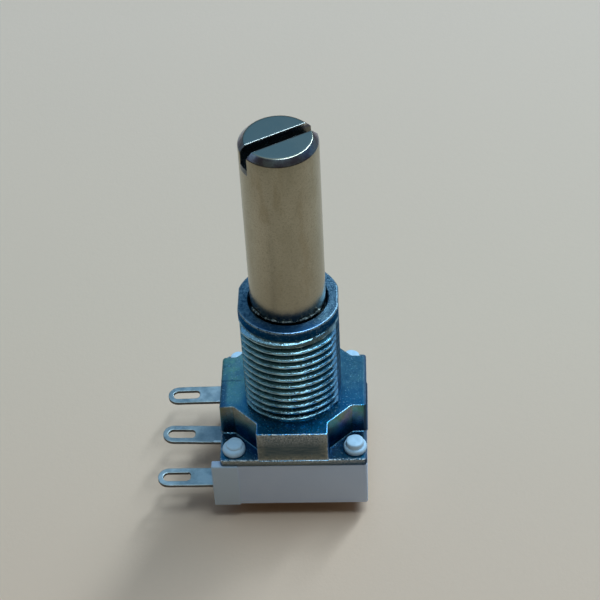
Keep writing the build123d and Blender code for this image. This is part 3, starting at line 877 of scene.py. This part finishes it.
# bare metal rubbed through in dots along the edges, painted bright: partly real wear, partly painted
# highlight
wear_and_glint_dots = s.plus(speck, s.times(s.along(z, 18.0, 18.2), 0.06))
wear_and_glint = s.mark("wear_and_glint")
dotted = s.times(wear_and_glint, s.step(wear_and_glint_dots, 0.45, 0.56))
edge = s.larger(dotted, s.times(wear_and_glint, 0.12))
skin = s.mix(edge, skin, s.mix(s.along(z, 18.0, 18.2), (0.8, 0.84, 0.86), (0.66, 0.85, 0.96)))
skin = s.over(skin, (0.6, 0.62, 0.6), s.mark("crease"), 0.3)
# gloss: duller on the upright sides, the ring's flat top and the right-hand ends, bright on its rim
rough = s.plus(s.times(fine, 0.16), 0.17)
rough = s.plus(rough, s.times(s.step(s.absolute(s.normal[0]), 0.9, 0.99), 0.2))
flat_ring = s.times(s.along(z, 18.8, 19.0), s.step(wear_and_glint, 0.5, 0.1))
rough = s.plus(rough, s.times(flat_ring, 0.14))
rough = s.minus(rough, s.times(wear_and_glint, s.along(z, 18.6, 18.8), 0.09))
rough = s.plus(rough, s.times(s.mark("thread"), s.along(x, 3.4, 3.8), 0.3), clamp=True)
grainy = s.plus(speck, s.times(s.mark("thread"), s.plus(speck, s.times(fine, 1.7))))
# painted shade: the right-hand end faces are painted dark navy
right_edge = s.along(x, 6.05, 6.2)
skin = s.over(skin, (0.05, 0.08, 0.14), right_edge, 0.8)
rough = s.plus(rough, s.times(right_edge, 0.35), clamp=True)
bump = s.bump(grainy, 0.014, s.bump(broad, 0.05))
# the rubbed dots and the painted glints are made less metallic
wear_and_glint_spots = s.larger(dotted, s.times(s.step(speck, 0.665, 0.7), 0.6))
s.put(s.bsdf.inputs["Metallic"], s.minus(1.0, s.times(wear_and_glint_spots, 0.65)))
s.done(skin, rough, s.bump(streak, 0.003, bump), specular_tint=(0.35, 0.55, 0.85, 1.0))
s.on(housing)

# scraped zinc left bright in the mouth
s = Surface("zinc_crumbs")
fine = s.noise(0.15, 4, 0.7, seed=17)
s.done(
    s.mix(s.step(fine, 0.42, 0.62), (0.12, 0.18, 0.2), (0.9, 0.98, 0.94)),
    s.times(fine, 0.8, clamp=True), s.bump(fine, 0.03), metallic=0.5,
)
s.on(burr)

# white moulded resin
s = Surface("white_resin")
cloud = s.noise(2.6, 3, 0.5, seed=3)
grain = s.noise(0.16, 4, 0.6, seed=4)
x, y, z = s.xyz
resin = s.mix(s.step(cloud, 0.35, 0.65), (0.585, 0.695, 0.9), (0.61, 0.715, 0.91))
# painted light: the cheek's front is painted greyer and less blue than the rest of the base
resin = s.over(resin, (0.575, 0.69, 0.83), s.along(x, -4.75, -4.9), s.along(y, -6.1, -6.4))
# painted light: the post heads, facing the lamps, are painted lighter and bluer than the base's sides
resin = s.mix(s.along(z, 5.6, 5.8), resin, (0.6, 0.81, 1.0))
# painted shade: the base's underside is painted dark brown
resin = s.over(resin, (0.3, 0.25, 0.17), s.step(s.normal[2], -0.5, -0.9), 0.8)
resin = s.over(resin, (0.48, 0.58, 0.7), s.step(grain, 0.6, 0.75), 0.12)
s.done(resin, s.plus(s.times(cloud, 0.12), 0.4), s.bump(grain, 0.006, s.bump(cloud, 0.02)), ior=1.5)
s.on(base_body)

# shaft: satin nickel over turned brass
s = Surface("shaft_nickel")
x, y, z = s.xyz
turned = s.noise(0.09, 3, 0.6, stretch=(60, 60, 1), seed=6)
rings = s.noise(0.35, 3, 0.6, seed=8)
blotch = s.noise(2.4, 4, 0.6, stretch=(1, 1, 2.5), seed=11)
nickel = s.mix(s.step(blotch, 0.3, 0.7), (0.335, 0.32, 0.245), (0.435, 0.415, 0.33))
stain = s.noise(1.1, 4, 0.65, stretch=(1, 1, 4), seed=35)
nickel = s.over(nickel, (0.3, 0.26, 0.17), s.step(stain, 0.5, 0.66), 0.45)
# darker towards the bushing: partly dirt, partly a painted dark reflection
nickel = s.over(nickel, (0.27, 0.25, 0.185), s.along(z, 27.0, 20.0), 0.5)
nickel = s.over(nickel, (0.46, 0.44, 0.37), s.step(turned, 0.55, 0.75), 0.2)
grit = s.noise(0.16, 4, 0.75, seed=18)
nickel = s.over(nickel, (0.21, 0.195, 0.145), s.step(grit, 0.52, 0.34), 0.5)
# near-black at the foot: partly dirt, partly a painted dark reflection
foot = s.times(s.along(z, 20.7, 19.8), s.step(rings, 0.2, 0.6))
nickel = s.over(nickel, (0.07, 0.095, 0.115), foot, 0.85)
nickel = s.over(nickel, (0.53, 0.46, 0.355), s.along(z, 36.07, 36.09), 0.9)
bevel = s.times(s.along(z, 35.58, 35.64), s.along(z, 36.08, 36.04))
sheen = s.step(s.noise(1.3, 3, 0.6, seed=31), 0.42, 0.58)
nickel = s.over(nickel, s.mix(sheen, (0.24, 0.22, 0.32), (0.44, 0.52, 0.62)), bevel, 0.85)
# painted shade: the inside of the sawn slot is painted dark
across = s.plus(s.times(x, float(slot_normal[0])), s.times(y, float(slot_normal[1])))
sawn = s.times(s.along(across, -0.62, -0.59), s.along(across, 0.46, 0.43))
sawn = s.times(sawn, s.along(z, 33.9, 34.0), s.along(z, 36.09, 36.06))
nickel = s.mix(sawn, nickel, s.mix(s.step(rings, 0.4, 0.7), (0.05, 0.065, 0.08), (0.14, 0.17, 0.2)))
# the slot's top edges are painted bright: partly wear, partly painted highlight
nickel = s.mix(s.mark("wear_and_glint"), nickel, (0.8, 0.82, 0.82))
s.done(
    nickel, s.plus(s.times(blotch, 0.1), 0.2), s.bump(turned, 0.0015, s.bump(rings, 0.002)),
    metallic=1.0,
)
s.on(shaft_piece)

# tinned lugs
s = Surface("tinned_sheet")
x, y, _ = s.xyz
blotch = s.noise(0.9, 5, 0.65, seed=14)
rolled = s.noise(0.12, 3, 0.6, stretch=(8, 1, 1), seed=15)
tin = s.mix(s.step(blotch, 0.35, 0.65), (0.28, 0.33, 0.35), (0.44, 0.49, 0.51))
bright = s.mix(s.step(blotch, 0.34, 0.6), (0.42, 0.48, 0.49), (0.64, 0.7, 0.71))
tin = s.mix(s.along(s.absolute(y), 1.5, 3.5), tin, bright)
tin = s.over(tin, (0.55, 0.62, 0.66), s.step(s.noise(0.3, 3, 0.6, seed=16), 0.6, 0.72), 0.5)
# the lugs' edges are painted paler in patches: partly wear, partly painted highlight
edge = s.times(s.mark("wear_and_glint"), s.step(s.noise(0.8, 3, 0.6, seed=19), 0.4, 0.6))
tin = s.over(tin, (0.56, 0.58, 0.5), edge, 0.55)
# a painted glint near the front edge of the middle and the rear lug
rim = s.math("MINIMUM", s.absolute(s.plus(y, 0.89 * MM)), s.absolute(s.minus(y, 4.11 * MM)))
painted_glint = s.times(s.along(rim, 0.16, 0.1), s.along(s.absolute(s.plus(x, 7.03 * MM)), 0.45, 0.3))
tin = s.over(tin, (0.96, 0.98, 0.98), painted_glint, s.step(rolled, 0.3, 0.5))
# painted shade: the lugs' sheared edges are painted dark
sheared = s.step(s.absolute(s.normal[2]), 0.6, 0.2)
tin = s.mix(sheared, tin, s.mix(blotch, (0.05, 0.05, 0.05), (0.3, 0.28, 0.24)))
s.done(
    tin, s.plus(s.times(blotch, 0.2), s.plus(s.times(sheared, 0.25), 0.28)),
    s.bump(rolled, 0.003, s.bump(blotch, 0.012)), metallic=1.0,
)
s.on(*lugs)


def simple(name, low, high, size, rough, depth, metal, *nodes):
    """Two-tone mottled finish for a part inside the casing."""
    m = Surface(name)
    tone = m.noise(size, 4, 0.6, seed=len(name))
    grit = m.noise(size * 0.2, 3, 0.6, seed=len(name) + 5)
    colour = m.mix(m.step(tone, 0.35, 0.65), low, high)
    m.done(colour, m.plus(m.times(grit, 0.15), rough), m.bump(grit, depth), metallic=metal)
    m.on(*[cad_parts[n] for n in nodes])


simple("rivet_brass", (0.66, 0.50, 0.26), (0.78, 0.64, 0.38), 0.4, 0.25, 0.004, 1.0, "terminal_rivets")
simple("phenolic", (0.30, 0.17, 0.07), (0.44, 0.27, 0.12), 0.8, 0.45, 0.006, 0.0, "element_board")
simple("carbon_film", (0.015, 0.015, 0.016), (0.04, 0.04, 0.042), 0.5, 0.5, 0.003, 0.0, "resistive_track")
silver = (0.62, 0.61, 0.58), (0.76, 0.75, 0.72)
simple("silver_ink", *silver, 0.4, 0.4, 0.004, 1.0, "end_pads", "collector_track")
simple("ring_steel", (0.32, 0.33, 0.35), (0.46, 0.47, 0.49), 0.6, 0.3, 0.003, 1.0, "retaining_ring")
simple("washer_film", (0.80, 0.72, 0.48), (0.88, 0.82, 0.62), 0.9, 0.35, 0.002, 0.0, "thrust_washer")
bronze = (0.62, 0.38, 0.22), (0.76, 0.52, 0.33)
simple("spring_bronze", *bronze, 0.5, 0.28, 0.003, 1.0, "spring_washer", "wiper_contact")
simple("rotor_resin", (0.70, 0.66, 0.56), (0.80, 0.77, 0.69), 1.2, 0.45, 0.006, 0.0, "rotor")

# ---- table, light and camera -----------------------------------------------------------
bpy.ops.mesh.primitive_plane_add(size=3.0)
table = bpy.context.object
table.name = "table_top"
s = Surface("pale_table")
cloud = s.noise(14, 2, 0.5, seed=1)
grain = s.noise(0.45, 4, 0.7, seed=2)
y = s.xyz[1]
# painted shade: the table is painted darker and warmer towards the front and lighter towards the back
paint = s.mix(s.along(y, -60.0, -15.0), (0.66, 0.435, 0.29), (0.85, 0.56, 0.395))
paint = s.mix(s.along(y, -15.0, 20.0), paint, (0.87, 0.61, 0.445))
paint = s.mix(s.along(y, 20.0, 70.0), paint, (0.92, 0.655, 0.5))
paint = s.over(paint, (0.62, 0.48, 0.38), s.step(grain, 0.3, 0.7), 0.05)
s.done(s.over(paint, (0.66, 0.5, 0.4), cloud, 0.06), 0.6, s.bump(grain, 0.02))
s.on(table)
table.location.z = -TABLE_DROP * MM
table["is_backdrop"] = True

world = bpy.data.worlds.new("room")
bpy.context.scene.world = world
world.use_nodes = True
nt = world.node_tree
LAMP_DISTANCE = 0.7
split = nt.nodes.new("ShaderNodeSeparateXYZ")
nt.links.new(nt.nodes.new("ShaderNodeTexCoord").outputs["Generated"], split.inputs[0])


def sky(bands):
    """Colours of the room by the sine of the height above the horizon."""
    ramp = nt.nodes.new("ShaderNodeValToRGB")
    nt.links.new(split.outputs[2], ramp.inputs[0])
    while len(ramp.color_ramp.elements) < len(bands):
        ramp.color_ramp.elements.new(0.5)
    for e, (pos, rgb) in zip(ramp.color_ramp.elements, bands):
        e.position = pos
        e.color = (*rgb, 1)
    return ramp.outputs[0]


# the far side of the room is a cool daylight blue, the near side dim and warm
behind = sky([
    (0.0, (0.12, 0.12, 0.11)), (0.25, (0.10, 0.13, 0.14)), (0.5, (0.065, 0.16, 0.27)),
    (0.7, (0.085, 0.28, 0.55)), (0.8, (0.13, 0.28, 0.42)), (0.88, (0.27, 0.38, 0.43)),
    (1.0, (0.34, 0.46, 0.50)),
])
before = sky([
    (0.0, (0.06, 0.045, 0.028)), (0.4, (0.055, 0.045, 0.03)), (0.7, (0.06, 0.055, 0.04)),
    (0.85, (0.08, 0.09, 0.08)), (1.0, (0.22, 0.32, 0.38)),
])
facing = nt.nodes.new("ShaderNodeMapRange")
facing.inputs["From Min"].default_value = -0.25
facing.inputs["From Max"].default_value = 0.35
nt.links.new(split.outputs[1], facing.inputs["Value"])
room = nt.nodes.new("ShaderNodeMix")
room.data_type = "RGBA"
nt.links.new(facing.outputs[0], room.inputs[0])
nt.links.new(before, room.inputs[6])
nt.links.new(behind, room.inputs[7])
nt.links.new(room.outputs[2], nt.nodes["Background"].inputs["Color"])


def lamp(name, start, end, width, share):
    """Soft strip of light facing the part. Start and end are the slopes (x, y over z) towards it."""
    a, b = (Vector((*slope, 1)).normalized() * LAMP_DISTANCE for slope in (start, end))
    middle = (a + b) / 2
    lean = 1 / middle.normalized().z
    data = bpy.data.lights.new(name, "AREA")
    data.shape = "RECTANGLE"
    data.size, data.size_y = width * LAMP_DISTANCE / lean, (b - a).length
    data.energy = share * (math.pi * LAMP_DISTANCE) ** 2 * lean
    data.color = (0.60, 0.83, 0.99)
    obj = bpy.data.objects.new(name, data)
    bpy.context.scene.collection.objects.link(obj)
    z = middle.normalized()
    y = ((b - a) - z * (b - a).dot(z)).normalized()
    obj.matrix_world = Matrix.Translation(middle) @ Matrix((y.cross(z), y, z)).transposed().to_4x4()


lamp("over_shoulder", (0.06, -0.26), (0.15, -0.06), 0.2, 0.12)
lamp("left_fill", (-0.8, 0.1), (-2.0, -0.1), 0.8, 0.013)
lamp("strip_top", (0.14, -0.12), (0.25, 0.14), 0.2, 0.18)
lamp("strip_high", (0.27, 0.16), (0.42, 0.45), 0.2, 0.17)
lamp("strip_middle", (0.44, 0.48), (0.57, 0.76), 0.17, 0.155)
lamp("strip_low", (0.59, 0.8), (0.8, 1.3), 0.16, 0.085)

CAMERA_PLACE = Vector((7.2912, -107.6925, 121.521))
CAMERA_TURN = (-3.3457, -43.614, 3.251)  # yaw, pitch and roll in degrees
cam = bpy.data.objects.new("camera", bpy.data.cameras.new("camera"))
bpy.context.scene.collection.objects.link(cam)
bpy.context.scene.camera = cam
cam.data.sensor_width = 36
cam.data.lens = 107.03
yaw, pitch, roll = (math.radians(a) for a in CAMERA_TURN)
fwd = Vector((math.sin(yaw) * math.cos(pitch), math.cos(yaw) * math.cos(pitch), math.sin(pitch)))
right = Vector((math.cos(yaw), -math.sin(yaw), 0))
down = fwd.cross(right)
cam_x = right * math.cos(roll) + down * math.sin(roll)
cam_y = right * math.sin(roll) - down * math.cos(roll)
turn = Matrix((cam_x, cam_y, -fwd)).transposed().to_4x4()
cam.matrix_world = Matrix.Translation(CAMERA_PLACE * MM) @ turn
cam.data.clip_start, cam.data.clip_end = 0.005, 10

bpy.context.scene.view_settings.view_transform = "Standard"
bpy.context.view_layer.update()
low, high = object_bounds()
